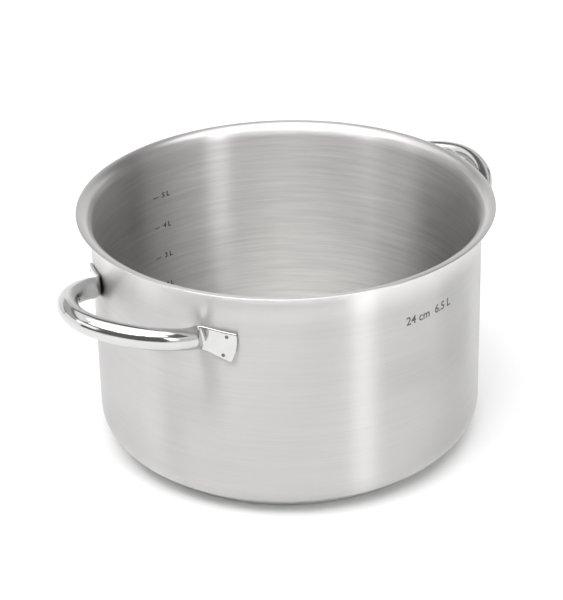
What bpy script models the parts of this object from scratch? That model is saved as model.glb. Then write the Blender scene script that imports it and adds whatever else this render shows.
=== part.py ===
"""Stock pot, 24 cm: a drawn stainless steel shell, a bonded base and two welded tube handles.

Metres, +Z up. The origin is the middle of the underside, and the handles stand out along -X and +X.
"""
import math

import bmesh
import bpy
from mathutils import Vector

# Shell
BORE_RADIUS = 0.120
SHEET = 0.0009
SHELL_HEIGHT = 0.1487
CORNER_RADIUS = 0.0175  # outside of the bottom corner
LIP_ROLL = 0.008  # upper side of the roll that turns the wall outwards into the lip
LIP_FLAT = 0.0012  # level strip between the roll and the edge

# Base
BASE_RADIUS = 0.105
CAP_SHEET = 0.0005
CAP_CORNER_RADIUS = 0.0022
CORE_THICKNESS = 0.0044
CORE_CHAMFER = 0.0006

# Handle, in the view from above: half of a loop that is symmetric about the X axis
TUBE_DIAMETER = 0.013
TUBE_WALL = 0.001
LOOP_REACH = 0.1623  # from the pot's axis to the middle of the tube at the front of the loop
LEG_OFFSET = 0.0425  # from the X axis to the middle of a leg where it bends onto the wall
LEG_SPLAY = math.radians(6.5)  # how far a leg turns outwards as it leaves the wall
LEG_PULL = 0.0271  # handle lengths of the curve that joins the leg to the front of the loop
FRONT_PULL = 0.0134
LOOP_TILT = math.radians(12.7)  # the loop rises as it reaches out
LEG_HEIGHT = 0.1180  # middle of the leg at the bend, above the underside of the shell

# Pressed end of the handle
PLATE_THICKNESS = 0.0022
PLATE_BEND_RADIUS = 0.005
PLATE_LENGTH = 0.021
PLATE_DROP = math.radians(9)
NECK_HEIGHT = 0.0168  # height of the pressed section where the bend ends
END_HEIGHT = 0.0202
END_BULGE = 0.0025
PRESS_START = 0.020  # length of leg over which the tube goes from round to flat

# Spot welds and the vent that lets air out of the tube
WELD_RADIUS = 0.001
WELD_BACK = 0.0049  # from the end of the plate to the welds
WELD_SPREAD = 0.0119
WELD_RECESS = 0.0003
VENT_RADIUS = 0.00125
VENT_AT = 0.72  # place along the curve from the front of the loop to the bend

# Fineness of the faceted solids
GAP = 0.0003  # clearance between pieces that touch
AROUND = 72
LIP_STEPS = 5
CORNER_STEPS = 6
RING_POINTS = 16
CURVE_STEPS = 14
BEND_STEPS = 5
PLATE_STEPS = 4
WELD_POINTS = 12
MERGE = 0.00001

# Derived places
WALL_RADIUS = BORE_RADIUS + SHEET
SHELL_BOTTOM = CAP_SHEET + GAP + CORE_THICKNESS + GAP
TOP = SHELL_BOTTOM + SHELL_HEIGHT
LIP_RADIUS = BORE_RADIUS + LIP_ROLL + LIP_FLAT
PLATE_RADIUS = WALL_RADIUS + GAP + PLATE_THICKNESS / 2


def clear_scene():
    """Remove every object that the new file starts with."""
    for obj in list(bpy.data.objects):
        bpy.data.objects.remove(obj, do_unlink=True)


def make_collection(name):
    """Add an empty collection to the scene."""
    collection = bpy.data.collections.new(name)
    bpy.context.scene.collection.children.link(collection)
    return collection


def make_material(name, colour, roughness):
    """Build a metal from its colour and roughness."""
    material = bpy.data.materials.new(name)
    material.use_nodes = True
    shader = material.node_tree.nodes["Principled BSDF"]
    shader.inputs["Base Color"].default_value = (*colour, 1.0)
    shader.inputs["Metallic"].default_value = 1.0
    shader.inputs["Roughness"].default_value = roughness
    return material


def place(obj, collection, material=None):
    """Put an object in one collection only and give it its material."""
    for holder in list(obj.users_collection):
        holder.objects.unlink(obj)
    collection.objects.link(obj)
    if material:
        obj.data.materials.clear()
        obj.data.materials.append(material)
    return obj


def hide_cutter(obj):
    """Mark an object as a cutter that isn't part of the pot."""
    obj.hide_render = True
    obj.display_type = "WIRE"
    return obj


def arc(centre, radius, start, end, steps):
    """Points on an arc in the profile's plane, from the start angle to the end angle in degrees."""
    points = []
    for step in range(steps + 1):
        angle = math.radians(start + (end - start) * step / steps)
        points.append((centre[0] + radius * math.cos(angle), centre[1] + radius * math.sin(angle)))
    return points


def turned(name, profile, collection, material):
    """Turn a profile of (radius, height) points about the Z axis."""
    mesh = bpy.data.meshes.new(name)
    edges = [(index, index + 1) for index in range(len(profile) - 1)]
    mesh.from_pydata([(radius, 0.0, height) for radius, height in profile], edges, [])
    obj = place(bpy.data.objects.new(name, mesh), collection, material)
    screw = obj.modifiers.new("Turn", "SCREW")
    screw.axis = "Z"
    screw.steps = AROUND
    screw.render_steps = AROUND
    screw.use_merge_vertices = True
    screw.merge_threshold = MERGE
    screw.use_smooth_shade = True
    return obj


def make_shell(collection, material):
    """Drawn shell: floor, rounded corner, straight wall and rolled lip, one sheet thick."""
    corner = (WALL_RADIUS - CORNER_RADIUS, SHELL_BOTTOM + CORNER_RADIUS)
    roll = (BORE_RADIUS + LIP_ROLL, TOP - LIP_ROLL)
    profile = [(0.0, SHELL_BOTTOM + SHEET)]
    profile += arc(corner, CORNER_RADIUS - SHEET, -90, 0, CORNER_STEPS)
    profile += arc(roll, LIP_ROLL, 180, 90, LIP_STEPS)
    profile += [(LIP_RADIUS, TOP), (LIP_RADIUS, TOP - SHEET)]
    profile += arc(roll, LIP_ROLL - SHEET, 90, 180, LIP_STEPS)
    profile += arc(corner, CORNER_RADIUS, 0, -90, CORNER_STEPS)
    profile += [(0.0, SHELL_BOTTOM)]
    return turned("pot_shell", profile, collection, material)


def make_core(collection, material):
    """Aluminium disc that spreads the heat under the shell."""
    radius = BASE_RADIUS - CAP_SHEET - GAP
    middle = CAP_SHEET + GAP + CORE_THICKNESS / 2
    bpy.ops.mesh.primitive_cylinder_add(
        vertices=AROUND, radius=radius, depth=CORE_THICKNESS, location=(0, 0, middle))
    core = bpy.context.object
    core.name = "base_core_disc"
    bevel = core.modifiers.new("Chamfer", "BEVEL")
    bevel.width = CORE_CHAMFER
    bevel.segments = 1
    return place(core, collection, material)


def make_cap(collection, material):
    """Magnetic steel cup that holds the disc from below."""
    centre = (BASE_RADIUS - CAP_CORNER_RADIUS, CAP_CORNER_RADIUS)
    edge = SHELL_BOTTOM - GAP
    profile = [(0.0, CAP_SHEET)]
    profile += arc(centre, CAP_CORNER_RADIUS - CAP_SHEET, -90, 0, CORNER_STEPS // 2)
    profile += [(BASE_RADIUS - CAP_SHEET, edge), (BASE_RADIUS, edge)]
    profile += arc(centre, CAP_CORNER_RADIUS, 0, -90, CORNER_STEPS // 2)
    profile += [(0.0, 0.0)]
    return turned("base_cap", profile, collection, material)


def smooth(value):
    """Ease from 0 to 1."""
    value = min(max(value, 0.0), 1.0)
    return value * value * (3 - 2 * value)


def mix(low, high, share):
    """Value between two others."""
    return low + (high - low) * share


def bend_centre():
    """Centre of the bend, which touches the leg on one side and the wall on the other."""
    across = LEG_OFFSET + PLATE_BEND_RADIUS * math.cos(LEG_SPLAY)
    out = math.sqrt((PLATE_RADIUS + PLATE_BEND_RADIUS) ** 2 - across ** 2)
    return Vector((out, across))


def loop_height(out):
    """Height of the tilted loop at a distance from the pot's axis."""
    leg = bend_centre().x + PLATE_BEND_RADIUS * math.sin(LEG_SPLAY)
    return SHELL_BOTTOM + LEG_HEIGHT + (out - leg) * math.tan(LOOP_TILT)


def plate_frame(along):
    """Place, direction and upright of the pressed plate at a distance past the bend."""
    centre = bend_centre()
    start = math.atan2(centre.y, centre.x)
    top = loop_height(PLATE_RADIUS * math.cos(start))
    turn = start + along * math.cos(PLATE_DROP) / PLATE_RADIUS
    radial = Vector((math.cos(turn), math.sin(turn), 0))
    point = radial * PLATE_RADIUS
    point.z = top - along * math.sin(PLATE_DROP)
    level = Vector((-radial.y, radial.x, 0))
    direction = level * math.cos(PLATE_DROP) - Vector((0, 0, math.sin(PLATE_DROP)))
    return point, direction, radial.cross(direction)


def loop_curve(share):
    """Point and direction on the curve from the front of the loop (0) to the bend (1)."""
    bend = bend_centre() + PLATE_BEND_RADIUS * Vector((math.sin(LEG_SPLAY), -math.cos(LEG_SPLAY)))
    points = [
        Vector((LOOP_REACH, 0)),
        Vector((LOOP_REACH, FRONT_PULL)),
        bend + LEG_PULL * Vector((math.cos(LEG_SPLAY), math.sin(LEG_SPLAY))),
        bend,
    ]
    rest = 1 - share
    place_at = (points[0] * rest ** 3 + points[1] * 3 * rest ** 2 * share
                + points[2] * 3 * rest * share ** 2 + points[3] * share ** 3)
    heading = ((points[1] - points[0]) * rest ** 2 + (points[2] - points[1]) * 2 * rest * share
               + (points[3] - points[2]) * share ** 2)
    slope = math.tan(LOOP_TILT)
    point = Vector((place_at.x, place_at.y, loop_height(place_at.x)))
    direction = Vector((heading.x, heading.y, heading.x * slope)).normalized()
    return point, direction


def handle_stations():
    """Sections from the front of the loop to the end of the plate.

    Each is (point, direction, upright, thickness, height, bulge).
    """
    loop_up = Vector((-math.sin(LOOP_TILT), 0, math.cos(LOOP_TILT)))
    centre = bend_centre()
    bend_turn = math.radians(90) - LEG_SPLAY - math.atan2(centre.y, centre.x)
    bend_length = PLATE_BEND_RADIUS * bend_turn
    plate_up = plate_frame(0)[2]
    stations = []
    bend_start = loop_curve(1)[0]
    for step in range(CURVE_STEPS + 1):
        point, direction = loop_curve(step / CURVE_STEPS)
        left = (point - bend_start).length
        share = smooth((left + bend_length) / (PRESS_START + bend_length))
        thickness = mix(PLATE_THICKNESS, TUBE_DIAMETER, share)
        height = mix(NECK_HEIGHT, TUBE_DIAMETER, share)
        stations.append((point, direction, loop_up, thickness, height, 0.0))
    for step in range(1, BEND_STEPS + 1):
        share = step / BEND_STEPS
        angle = LEG_SPLAY - math.radians(90) - bend_turn * share
        out = centre.x + PLATE_BEND_RADIUS * math.cos(angle)
        across = centre.y + PLATE_BEND_RADIUS * math.sin(angle)
        point = Vector((out, across, loop_height(out)))
        heading = Vector((math.sin(angle), -math.cos(angle), math.sin(angle) * math.tan(LOOP_TILT)))
        upright = loop_up.lerp(plate_up, smooth(share)).normalized()
        left = bend_length * (1 - share)
        press = smooth(left / (PRESS_START + bend_length))
        thickness = mix(PLATE_THICKNESS, TUBE_DIAMETER, press)
        height = mix(NECK_HEIGHT, TUBE_DIAMETER, press)
        stations.append((point, heading.normalized(), upright, thickness, height, 0.0))
    for step in range(1, PLATE_STEPS + 1):
        share = step / PLATE_STEPS
        point, direction, upright = plate_frame(PLATE_LENGTH * share)
        height = mix(NECK_HEIGHT, END_HEIGHT, share)
        stations.append((point, direction, upright, PLATE_THICKNESS, height, END_BULGE * share ** 3))
    return stations


def section(station, inset):
    """Ring of points: a circle pressed towards two flat sides, inset by the tube's wall."""
    point, direction, upright, thickness, height, bulge = station
    thickness -= 2 * inset
    height -= 2 * inset
    sideways = direction.cross(upright).normalized()
    upright = sideways.cross(direction).normalized()
    ring = []
    for index in range(RING_POINTS):
        angle = 2 * math.pi * (index + 0.5) / RING_POINTS
        lift = math.copysign((height - thickness) / 2, math.sin(angle))
        lift += thickness / 2 * math.sin(angle)
        push = bulge * (1 - (2 * lift / height) ** 2)
        aside = thickness / 2 * math.cos(angle)
        ring.append(point + upright * lift + sideways * aside + direction * push)
    return ring


def make_loft(name, stations, inset, collection):
    """Skin one half of the handle from its front to its end, and mirror it to the other half."""
    shape = bmesh.new()
    rings = []
    for station in stations:
        rings.append([shape.verts.new(point) for point in section(station, inset)])
    for near, far in zip(rings, rings[1:]):
        for index in range(RING_POINTS):
            after = (index + 1) % RING_POINTS
            shape.faces.new((near[index], near[after], far[after], far[index]))
    shape.faces.new(rings[-1])
    mesh = bpy.data.meshes.new(name)
    shape.to_mesh(mesh)
    shape.free()
    obj = place(bpy.data.objects.new(name, mesh), collection)
    mirror = obj.modifiers.new("Other half", "MIRROR")
    mirror.use_axis = (False, True, False)
    mirror.merge_threshold = MERGE
    return obj


def weld_places(side):
    """Middle and outward direction of the two welds on one plate; side is 1 or -1 along Y."""
    point, direction, upright = plate_frame(PLATE_LENGTH - WELD_BACK)
    places = {}
    for name, lift in (("upper", WELD_SPREAD / 2), ("lower", -WELD_SPREAD / 2)):
        spot = point + upright * lift
        spot.y *= side
        places[name] = (spot, Vector((spot.x, spot.y, 0)).normalized())
    return places


def make_peg(name, middle, direction, radius, length, collection, material=None):
    """Short round bar about a middle point."""
    bpy.ops.mesh.primitive_cylinder_add(
        vertices=WELD_POINTS, radius=radius, depth=length, location=middle,
        rotation=direction.to_track_quat("Z", "Y").to_euler())
    peg = bpy.context.object
    peg.name = name
    return place(peg, collection, material)


def make_handle_mesh(collection):
    """Hollow tube loop with pressed ends, weld holes and a vent, standing out along +X."""
    stations = handle_stations()
    body = make_loft("handle_body", stations, 0.0, collection)
    hollow = [station for station in stations if station[3] > 2 * TUBE_WALL + GAP * 2]
    cutters = [make_loft("handle_hollow", hollow, TUBE_WALL, collection)]
    for side in (-1, 1):
        for level, (spot, outward) in weld_places(side).items():
            cutters.append(make_peg(
                f"weld_hole_{level}_{side}", spot, outward,
                WELD_RADIUS + GAP, PLATE_THICKNESS * 3, collection))
    point, direction = loop_curve(VENT_AT)
    inward = direction.cross(Vector((0, 0, 1))).normalized()
    vent = point - inward * TUBE_DIAMETER / 2
    vent.y *= -1
    inward.y *= -1
    cutters.append(make_peg("vent_hole", vent, inward, VENT_RADIUS, TUBE_WALL * 4, collection))
    for cutter in cutters:
        hide_cutter(cutter)
        cut = body.modifiers.new(cutter.name, "BOOLEAN")
        cut.operation = "DIFFERENCE"
        cut.solver = "EXACT"
        cut.object = cutter
    bpy.context.view_layer.update()
    depsgraph = bpy.context.evaluated_depsgraph_get()
    mesh = bpy.data.meshes.new_from_object(body.evaluated_get(depsgraph))
    mesh.shade_smooth()
    mesh.set_sharp_from_angle(angle=math.radians(40))
    bpy.data.objects.remove(body, do_unlink=True)
    return mesh


def make_handles(collection, cutters, material):
    """Two handles from one mesh, the left one turned half round."""
    mesh = make_handle_mesh(cutters)
    for name, turn in (("handle_right", 0.0), ("handle_left", math.pi)):
        handle = place(bpy.data.objects.new(name, mesh), collection, material)
        handle.rotation_euler.z = turn


def make_welds(collection, material):
    """Weld nuggets through the plates: from just off the wall to just under the plate's face."""
    length = PLATE_THICKNESS - WELD_RECESS
    for hand, turn in (("right", 1), ("left", -1)):
        for side in (-1, 1):
            end = "rear" if side * turn > 0 else "front"
            for level, (spot, outward) in weld_places(side).items():
                middle = spot - outward * WELD_RECESS / 2
                middle.x *= turn
                middle.y *= turn
                facing = Vector((outward.x * turn, outward.y * turn, 0))
                make_peg(f"weld_{hand}_{end}_{level}", middle, facing, WELD_RADIUS, length,
                         collection, material)


def main():
    """Build the whole pot."""
    clear_scene()
    pot = make_collection("stock_pot")
    cutters = make_collection("cutters")
    satin_steel = make_material("satin_steel", (0.62, 0.62, 0.60), 0.34)
    polished_steel = make_material("polished_steel", (0.70, 0.70, 0.69), 0.08)
    aluminium = make_material("aluminium", (0.66, 0.67, 0.68), 0.4)
    weld_steel = make_material("weld_steel", (0.30, 0.29, 0.28), 0.5)
    make_shell(pot, satin_steel)
    make_core(pot, aluminium)
    make_cap(pot, satin_steel)
    make_handles(pot, cutters, polished_steel)
    make_welds(pot, weld_steel)


main()
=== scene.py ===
"""Stock pot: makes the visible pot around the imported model, and the stage that it stands on."""
import math
from collections import namedtuple

import bpy
from bpy.props import FloatProperty, FloatVectorProperty, IntProperty, PointerProperty, StringProperty
from bpy.types import NodeSocket, Operator, Panel, PropertyGroup
from mathutils import Matrix, Vector


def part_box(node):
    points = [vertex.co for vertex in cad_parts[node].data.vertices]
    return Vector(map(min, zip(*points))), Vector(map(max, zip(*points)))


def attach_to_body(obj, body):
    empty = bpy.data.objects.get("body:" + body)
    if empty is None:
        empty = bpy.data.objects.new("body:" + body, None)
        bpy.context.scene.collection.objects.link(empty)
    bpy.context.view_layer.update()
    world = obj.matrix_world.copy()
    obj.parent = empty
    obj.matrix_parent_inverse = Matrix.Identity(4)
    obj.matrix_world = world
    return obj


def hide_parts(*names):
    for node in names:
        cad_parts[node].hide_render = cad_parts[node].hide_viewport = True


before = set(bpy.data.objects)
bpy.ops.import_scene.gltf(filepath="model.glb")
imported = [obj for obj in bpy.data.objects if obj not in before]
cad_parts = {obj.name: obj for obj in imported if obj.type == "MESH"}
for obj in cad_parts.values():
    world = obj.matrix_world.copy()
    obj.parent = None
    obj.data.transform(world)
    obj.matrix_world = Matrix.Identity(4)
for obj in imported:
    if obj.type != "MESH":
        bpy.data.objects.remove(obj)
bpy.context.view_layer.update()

SHELL_LOW, SHELL_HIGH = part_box("pot_shell")
CAP_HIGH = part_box("base_cap")[1]
LOOP_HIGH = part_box("handle_right")[1]

BODY = "root"
MERGE = 0.000001

# Depths under the lip's top where the band of painted reflection starts and where it is complete
PAINTED_LIGHT_START = 0.026
PAINTED_LIGHT_FULL = 0.006
# Spread of a brushed finish's roughness, and how much of its tint is added to that
SHEEN = 0.02
SHEEN_SHARE = 0.1
# Width of a weld and of its dimple beside the weld's own radius, and the weld's crown
WELD_SHARE = 1.1
DIMPLE_SHARE = 1.15
WELD_CROWN = 0.25
# Edges of the handle that are sharper than this stay sharp
SHARP_ANGLE = math.radians(35)
# Share of the lip's roll beyond which the lip's own finish starts
LIP_SHARE = 0.25
# Places of the shell's further finishes in its list of materials
INSIDE = 1
LIP = 2
# Power that shapes the crown of a flat section; that of a round section is 1
FLAT_CROWN = 2.5
# Length over which a section turns upright before the bend, in press lengths
TWIST_LENGTH = 3
# Depth of the vent's cutter, in wall thicknesses
VENT_DEPTH = 6
# Sockets of the Mix node by number: its two numbers, its two colours and its mixed colour
MIX_NUMBERS = (2, 3)
MIX_COLOURS = (6, 7)
MIX_RESULT = 2
# Point that all lights face, and elevation of the rim of the light overhead
LIGHT_AIM = Vector((0, 0, 0.08))
OVERHEAD_RIM = math.radians(58)

WELD_NODES = [
    f"weld_{hand}_{end}_{level}"
    for hand in ("left", "right") for end in ("front", "rear") for level in ("upper", "lower")]

bl_info = {
    "name": "Stock Pot",
    "version": (1, 0, 0),
    "blender": (4, 5, 0),
    "location": "View3D > Sidebar > Stock Pot",
    "description": "Makes a 24 cm stock pot with tube handles around its packed model",
    "category": "Add Mesh",
}


def length(name, description, default):
    """Property for a length in metres."""
    return FloatProperty(
        name=name, description=description, default=default, min=0.0, precision=5, unit="LENGTH")


def angle(name, description, degrees):
    """Property for an angle, given in degrees."""
    return FloatProperty(
        name=name, description=description, default=math.radians(degrees), subtype="ANGLE")


def share(name, description, default):
    """Property for a share between 0 and 1."""
    return FloatProperty(
        name=name, description=description, default=default, min=0.0, max=1.0, subtype="FACTOR")


def number(name, description, default):
    """Property for a plain number."""
    return FloatProperty(name=name, description=description, default=default)


def count(name, description, default):
    """Property for a whole number."""
    return IntProperty(name=name, description=description, default=default, min=1)


def colour(name, description, default):
    """Property for a linear colour."""
    return FloatVectorProperty(
        name=name, description=description, default=default, min=0.0, max=1.0, subtype="COLOR")


class ShellSettings(PropertyGroup):
    """Sizes of the drawn shell and its bonded base."""

    bore_radius: length("Bore radius", "Inside radius of the wall", 0.120)
    sheet: length("Sheet", "Thickness of the shell", 0.0009)
    corner_radius: length("Corner radius", "Outside radius of the bottom corner", 0.0175)
    lip_roll: length("Lip roll", "Radius of the upper side of the rolled lip", 0.008)
    edge_round: length("Edge rounding", "Rounding of the lip's sheared edge", 0.0004)
    lip_radius: length("Lip radius", "Outside radius of the lip", SHELL_HIGH[0])
    top: length("Top", "Height of the lip", SHELL_HIGH[2])
    bottom: length("Shell bottom", "Height of the shell's underside", SHELL_LOW[2])
    cap_radius: length("Base radius", "Outside radius of the bonded base", CAP_HIGH[0])
    cap_edge: length("Cap edge", "Height of the cap's upper edge", CAP_HIGH[2])
    cap_sheet: length("Cap sheet", "Thickness of the cap", 0.0005)
    cap_corner: length("Cap corner", "Outside radius of the cap's corner", 0.0022)
    ring_depth: length("Ring depth", "Depth of the turned rings in the underside", 0.00012)
    segments: count("Segments", "Faces round the pot", 320)


class HandleSettings(PropertyGroup):
    """Sizes of the tube handles and their pressed ends."""

    tube: length("Tube", "Outside diameter of the tube", 0.013)
    wall: length("Tube wall", "Thickness of the tube's wall", 0.001)
    reach: length("Reach", "From the pot's axis to the middle of the loop's front",
                  LOOP_HIGH[0] - 0.0060)
    leg_offset: length("Leg offset", "From the middle of the handle to a leg", 0.0455)
    leg_splay: angle("Leg splay", "How far the legs turn outwards", 0.2)
    leg_pull: length("Leg curve", "Length of curve handle at the leg", 0.0271)
    front_pull: length("Front curve", "Length of curve handle at the front", 0.0190)
    tilt: angle("Tilt", "Rise of the loop as it reaches out", 13.7)
    leg_height: length("Leg height", "Height of the leg at the bend above the shell's underside", 0.117)
    plate: length("Plate", "Thickness of the pressed end", 0.0022)
    bend_radius: length("Bend radius", "Radius of the bend from the leg to the plate", 0.005)
    bend_slant: number("Bend slant", "Slope of the bend's crease from upright", 0.42)
    tip_slant: number("Tip slant", "Slope of the tip's edge from square", 0.0)
    plate_length: length("Plate length", "Length of the pressed end past the bend", 0.0173)
    plate_drop: angle("Plate drop", "Slope of the pressed end towards its tip", 11.5)
    neck_height: length("Neck height", "Height of the pressed end at the bend", 0.0154)
    end_height: length("End height", "Height of the pressed end at its tip", 0.0197)
    end_bulge: length("End bulge", "How far the tip bows outwards", 0.0016)
    press_start: length("Press length", "Length of leg that goes from round to flat", 0.004)
    clearance: length("Clearance", "Gap between the plate and the wall", 0.0003)
    weld_radius: length("Weld radius", "Radius of a spot weld", 0.001)
    weld_back: length("Weld setback", "From the tip of the plate to its welds", 0.0049)
    weld_spread: length("Weld spread", "Distance between the two welds of a plate", 0.0124)
    weld_depth: length("Weld depth", "Depth of the dimple over a weld", 0.0004)
    vent_radius: length("Vent radius", "Radius of the vent in the tube", 0.00125)
    vent_at: share("Vent place", "Place of the vent, from the front (0) to the bend (1)", 0.58)
    ring_points: count("Ring points", "Faces round the tube", 72)


class MarkSettings(PropertyGroup):
    """Sizes of the etched litre scale and size mark."""

    litre_count: count("Litres", "Marks on the scale", 5)
    litre_offset: length("Scale offset", "Height of the empty mark above the shell's underside", 0.0033)
    dash_turn: angle("Dash place", "Direction of the middle of the dashes", 91.7)
    dash_length: length("Dash length", "Length of a dash", 0.0042)
    dash_width: length("Dash width", "Thickness of a dash's line", 0.0006)
    figure_turn: angle("Figure place", "Direction of the middle of the figures", 87.6)
    figure_size: length("Figure size", "Height of the figures' font", 0.0050)
    figure_bold: share("Figure weight", "How much thicker than the font the figures are", 0.035)
    size_text: StringProperty(name="Size mark", description="Etched size", default="24 cm  6.5 L")
    size_turn: angle("Size mark place", "Direction of the size mark", -90.0)
    size_height: length("Size mark height", "Height of the size mark", 0.1218)
    size_font: length("Size mark font", "Height of the size mark's font", 0.0076)
    size_bold: share("Size mark weight", "How much thicker than the font the size mark is", 0.015)
    relief: length("Relief", "How far the etched layer stands from the wall", 0.00003)


class FinishSettings(PropertyGroup):
    """Colours of the metals."""

    satin: colour("Satin steel", "Brushed steel of the shell's outside", (0.60, 0.595, 0.59))
    inner: colour("Inner steel", "Brushed steel of the shell's inside", (0.66, 0.655, 0.645))
    polished: colour("Polished steel", "Bright steel of the handles", (0.55, 0.55, 0.54))
    base: colour("Base steel", "Magnetic steel of the base", (0.74, 0.74, 0.73))
    aluminium: colour("Aluminium", "Disc inside the base", (0.62, 0.63, 0.64))
    weld: colour("Weld", "Spot welds", (0.20, 0.19, 0.18))
    etch: colour("Etching", "Litre scale and size mark", (0.10, 0.10, 0.10))
    floor: colour("Floor", "Floor of the stage", (0.92, 0.92, 0.92))


class StageSettings(PropertyGroup):
    """Camera and lights."""

    azimuth: angle("Azimuth", "Direction of view, from +Y towards -X", -43.5)
    elevation: angle("Elevation", "Height of the camera above the horizon", 27.82)
    roll: angle("Roll", "Turn of the camera about its line of sight", -1.32)
    distance: length("Distance", "From the camera to its aim", 1.3443)
    aim: FloatVectorProperty(
        name="Aim", description="Point that the camera looks at", default=(0.0002, 0.0058, 0.0837),
        precision=4, subtype="XYZ", unit="LENGTH")
    lens: number("Lens", "Focal length in millimetres", 127.35)
    floor_size: length("Floor size", "Side of the floor", 12.0)
    light_distance: length("Light distance", "From the pot to the lights", 2.5)
    overhead: number("Overhead", "Radiance of the light overhead", 2.1)
    ambient: number("Ambient", "Radiance of the surroundings", 0.17)


class PotSettings(PropertyGroup):
    """All settings of the stock pot."""

    shell: PointerProperty(type=ShellSettings)
    handle: PointerProperty(type=HandleSettings)
    mark: PointerProperty(type=MarkSettings)
    finish: PointerProperty(type=FinishSettings)
    stage: PointerProperty(type=StageSettings)


# Node trees


def sign(operation, swapped=False):
    """Method that adds the Math node for one of Python's signs."""
    def use(self, other):
        if swapped:
            return Wire(self.tree, other).calc(operation, self)
        return self.calc(operation, other)
    return use


class Wire:
    """Value in a node tree; each sign that it is used with adds a Math node."""

    def __init__(self, tree, value):
        self.tree = tree
        self.value = value

    def calc(self, operation, *others, clamp=False):
        """Result of a Math node whose first value is this one."""
        node = add(self.tree, "ShaderNodeMath", dict(enumerate((self, *others))), operation=operation,
                   use_clamp=clamp)
        return Wire(self.tree, node.outputs[0])

    __add__ = sign("ADD")
    __sub__ = sign("SUBTRACT")
    __rsub__ = sign("SUBTRACT", swapped=True)
    __mul__ = sign("MULTIPLY")
    __truediv__ = sign("DIVIDE")
    __rtruediv__ = sign("DIVIDE", swapped=True)
    __pow__ = sign("POWER")


def fill(tree, socket, value):
    """Link a node's output to a socket, or set the socket's own value."""
    if isinstance(value, Wire):
        value = value.value
    if isinstance(value, NodeSocket):
        tree.links.new(value, socket)
    else:
        socket.default_value = value


def add(tree, kind, inputs=None, **settings):
    """Add a node, set its settings, and fill or link its inputs."""
    made = tree.nodes.new(kind)
    for name, value in settings.items():
        setattr(made, name, value)
    for key, value in (inputs or {}).items():
        fill(tree, made.inputs[key], value)
    return made


def vector_calc(tree, operation, first, second):
    """Add a Vector Math node and return its vector; the second value of SCALE is a number."""
    key = "Scale" if operation == "SCALE" else 1
    return add(tree, "ShaderNodeVectorMath", {0: first, key: second}, operation=operation).outputs[0]


def new_group(name, kind, inputs, outputs):
    """Start a node group with its sockets; return the tree, its inputs by name and its output node."""
    tree = bpy.data.node_groups.new(name, f"{kind}NodeTree")
    for label, socket_type, value in inputs:
        socket = tree.interface.new_socket(
            label, in_out="INPUT", socket_type=f"NodeSocket{socket_type}")
        if value is not None:
            socket.default_value = value
    for label, socket_type in outputs:
        tree.interface.new_socket(label, in_out="OUTPUT", socket_type=f"NodeSocket{socket_type}")
    source = tree.nodes.new("NodeGroupInput")
    wires = {socket.name: Wire(tree, socket) for socket in source.outputs}
    return tree, wires, tree.nodes.new("NodeGroupOutput")


def new_growth(name, *inputs):
    """Start a Geometry Nodes tree that makes a mesh of one material."""
    return new_group(
        name, "Geometry", [*inputs, ("Material", "Material", None)], [("Mesh", "Geometry")])


def named_attribute(tree, name, data_type):
    """Read an attribute by its name in Geometry Nodes."""
    return add(tree, "GeometryNodeInputNamedAttribute", {"Name": name}, data_type=data_type).outputs[0]


def sample(tree, geometry, value, index, data_type):
    """Read a value of a geometry's point by its index."""
    node = add(tree, "GeometryNodeSampleIndex", {"Geometry": geometry, "Index": index, "Value": value},
               data_type=data_type)
    return Wire(tree, node.outputs[0])


def grid_of_points(tree, geometry, around):
    """Grid with a row for each point of a path; return it and each point's row and column."""
    rows = add(tree, "GeometryNodeAttributeDomainSize", {"Geometry": geometry}).outputs["Point Count"]
    columns = around + 1
    grid = add(tree, "GeometryNodeMeshGrid", {"Vertices X": rows, "Vertices Y": columns})
    index = Wire(tree, tree.nodes.new("GeometryNodeInputIndex").outputs[0])
    row = (index / columns).calc("FLOOR")
    return grid.outputs["Mesh"], row, index - row * columns


def finish_tree(tree, mesh, inputs, sink, weld_seams=True):
    """Close the seams, shade smooth, realize and set the material."""
    if weld_seams:
        mesh = add(tree, "GeometryNodeMergeByDistance",
                   {"Geometry": mesh, "Distance": MERGE}).outputs[0]
    mesh = add(tree, "GeometryNodeSetShadeSmooth", {"Geometry": mesh}).outputs[0]
    real = add(tree, "GeometryNodeRealizeInstances", {"Geometry": mesh}).outputs[0]
    painted = add(tree, "GeometryNodeSetMaterial", {"Geometry": real, "Material": inputs["Material"]})
    fill(tree, sink.inputs[0], painted.outputs[0])


def turned_tree():
    """Geometry Nodes: turn a profile in the XZ plane about the Z axis."""
    tree, inputs, sink = new_growth(
        "Turned piece", ("Profile", "Geometry", None), ("Segments", "Int", 96))
    mesh, row, column = grid_of_points(tree, inputs["Profile"], inputs["Segments"])
    position = tree.nodes.new("GeometryNodeInputPosition").outputs[0]
    point = sample(tree, inputs["Profile"], position, row, "FLOAT_VECTOR")
    parts = add(tree, "ShaderNodeSeparateXYZ", {0: point}).outputs
    turn = column * math.tau / inputs["Segments"]
    placed = add(tree, "ShaderNodeCombineXYZ", {
        "X": turn.calc("COSINE") * parts["X"], "Y": turn.calc("SINE") * parts["X"], "Z": parts["Z"]})
    mesh = add(tree, "GeometryNodeSetPosition", {"Geometry": mesh, "Position": placed.outputs[0]})
    finish_tree(tree, mesh.outputs[0], inputs, sink)
    return tree


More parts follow.
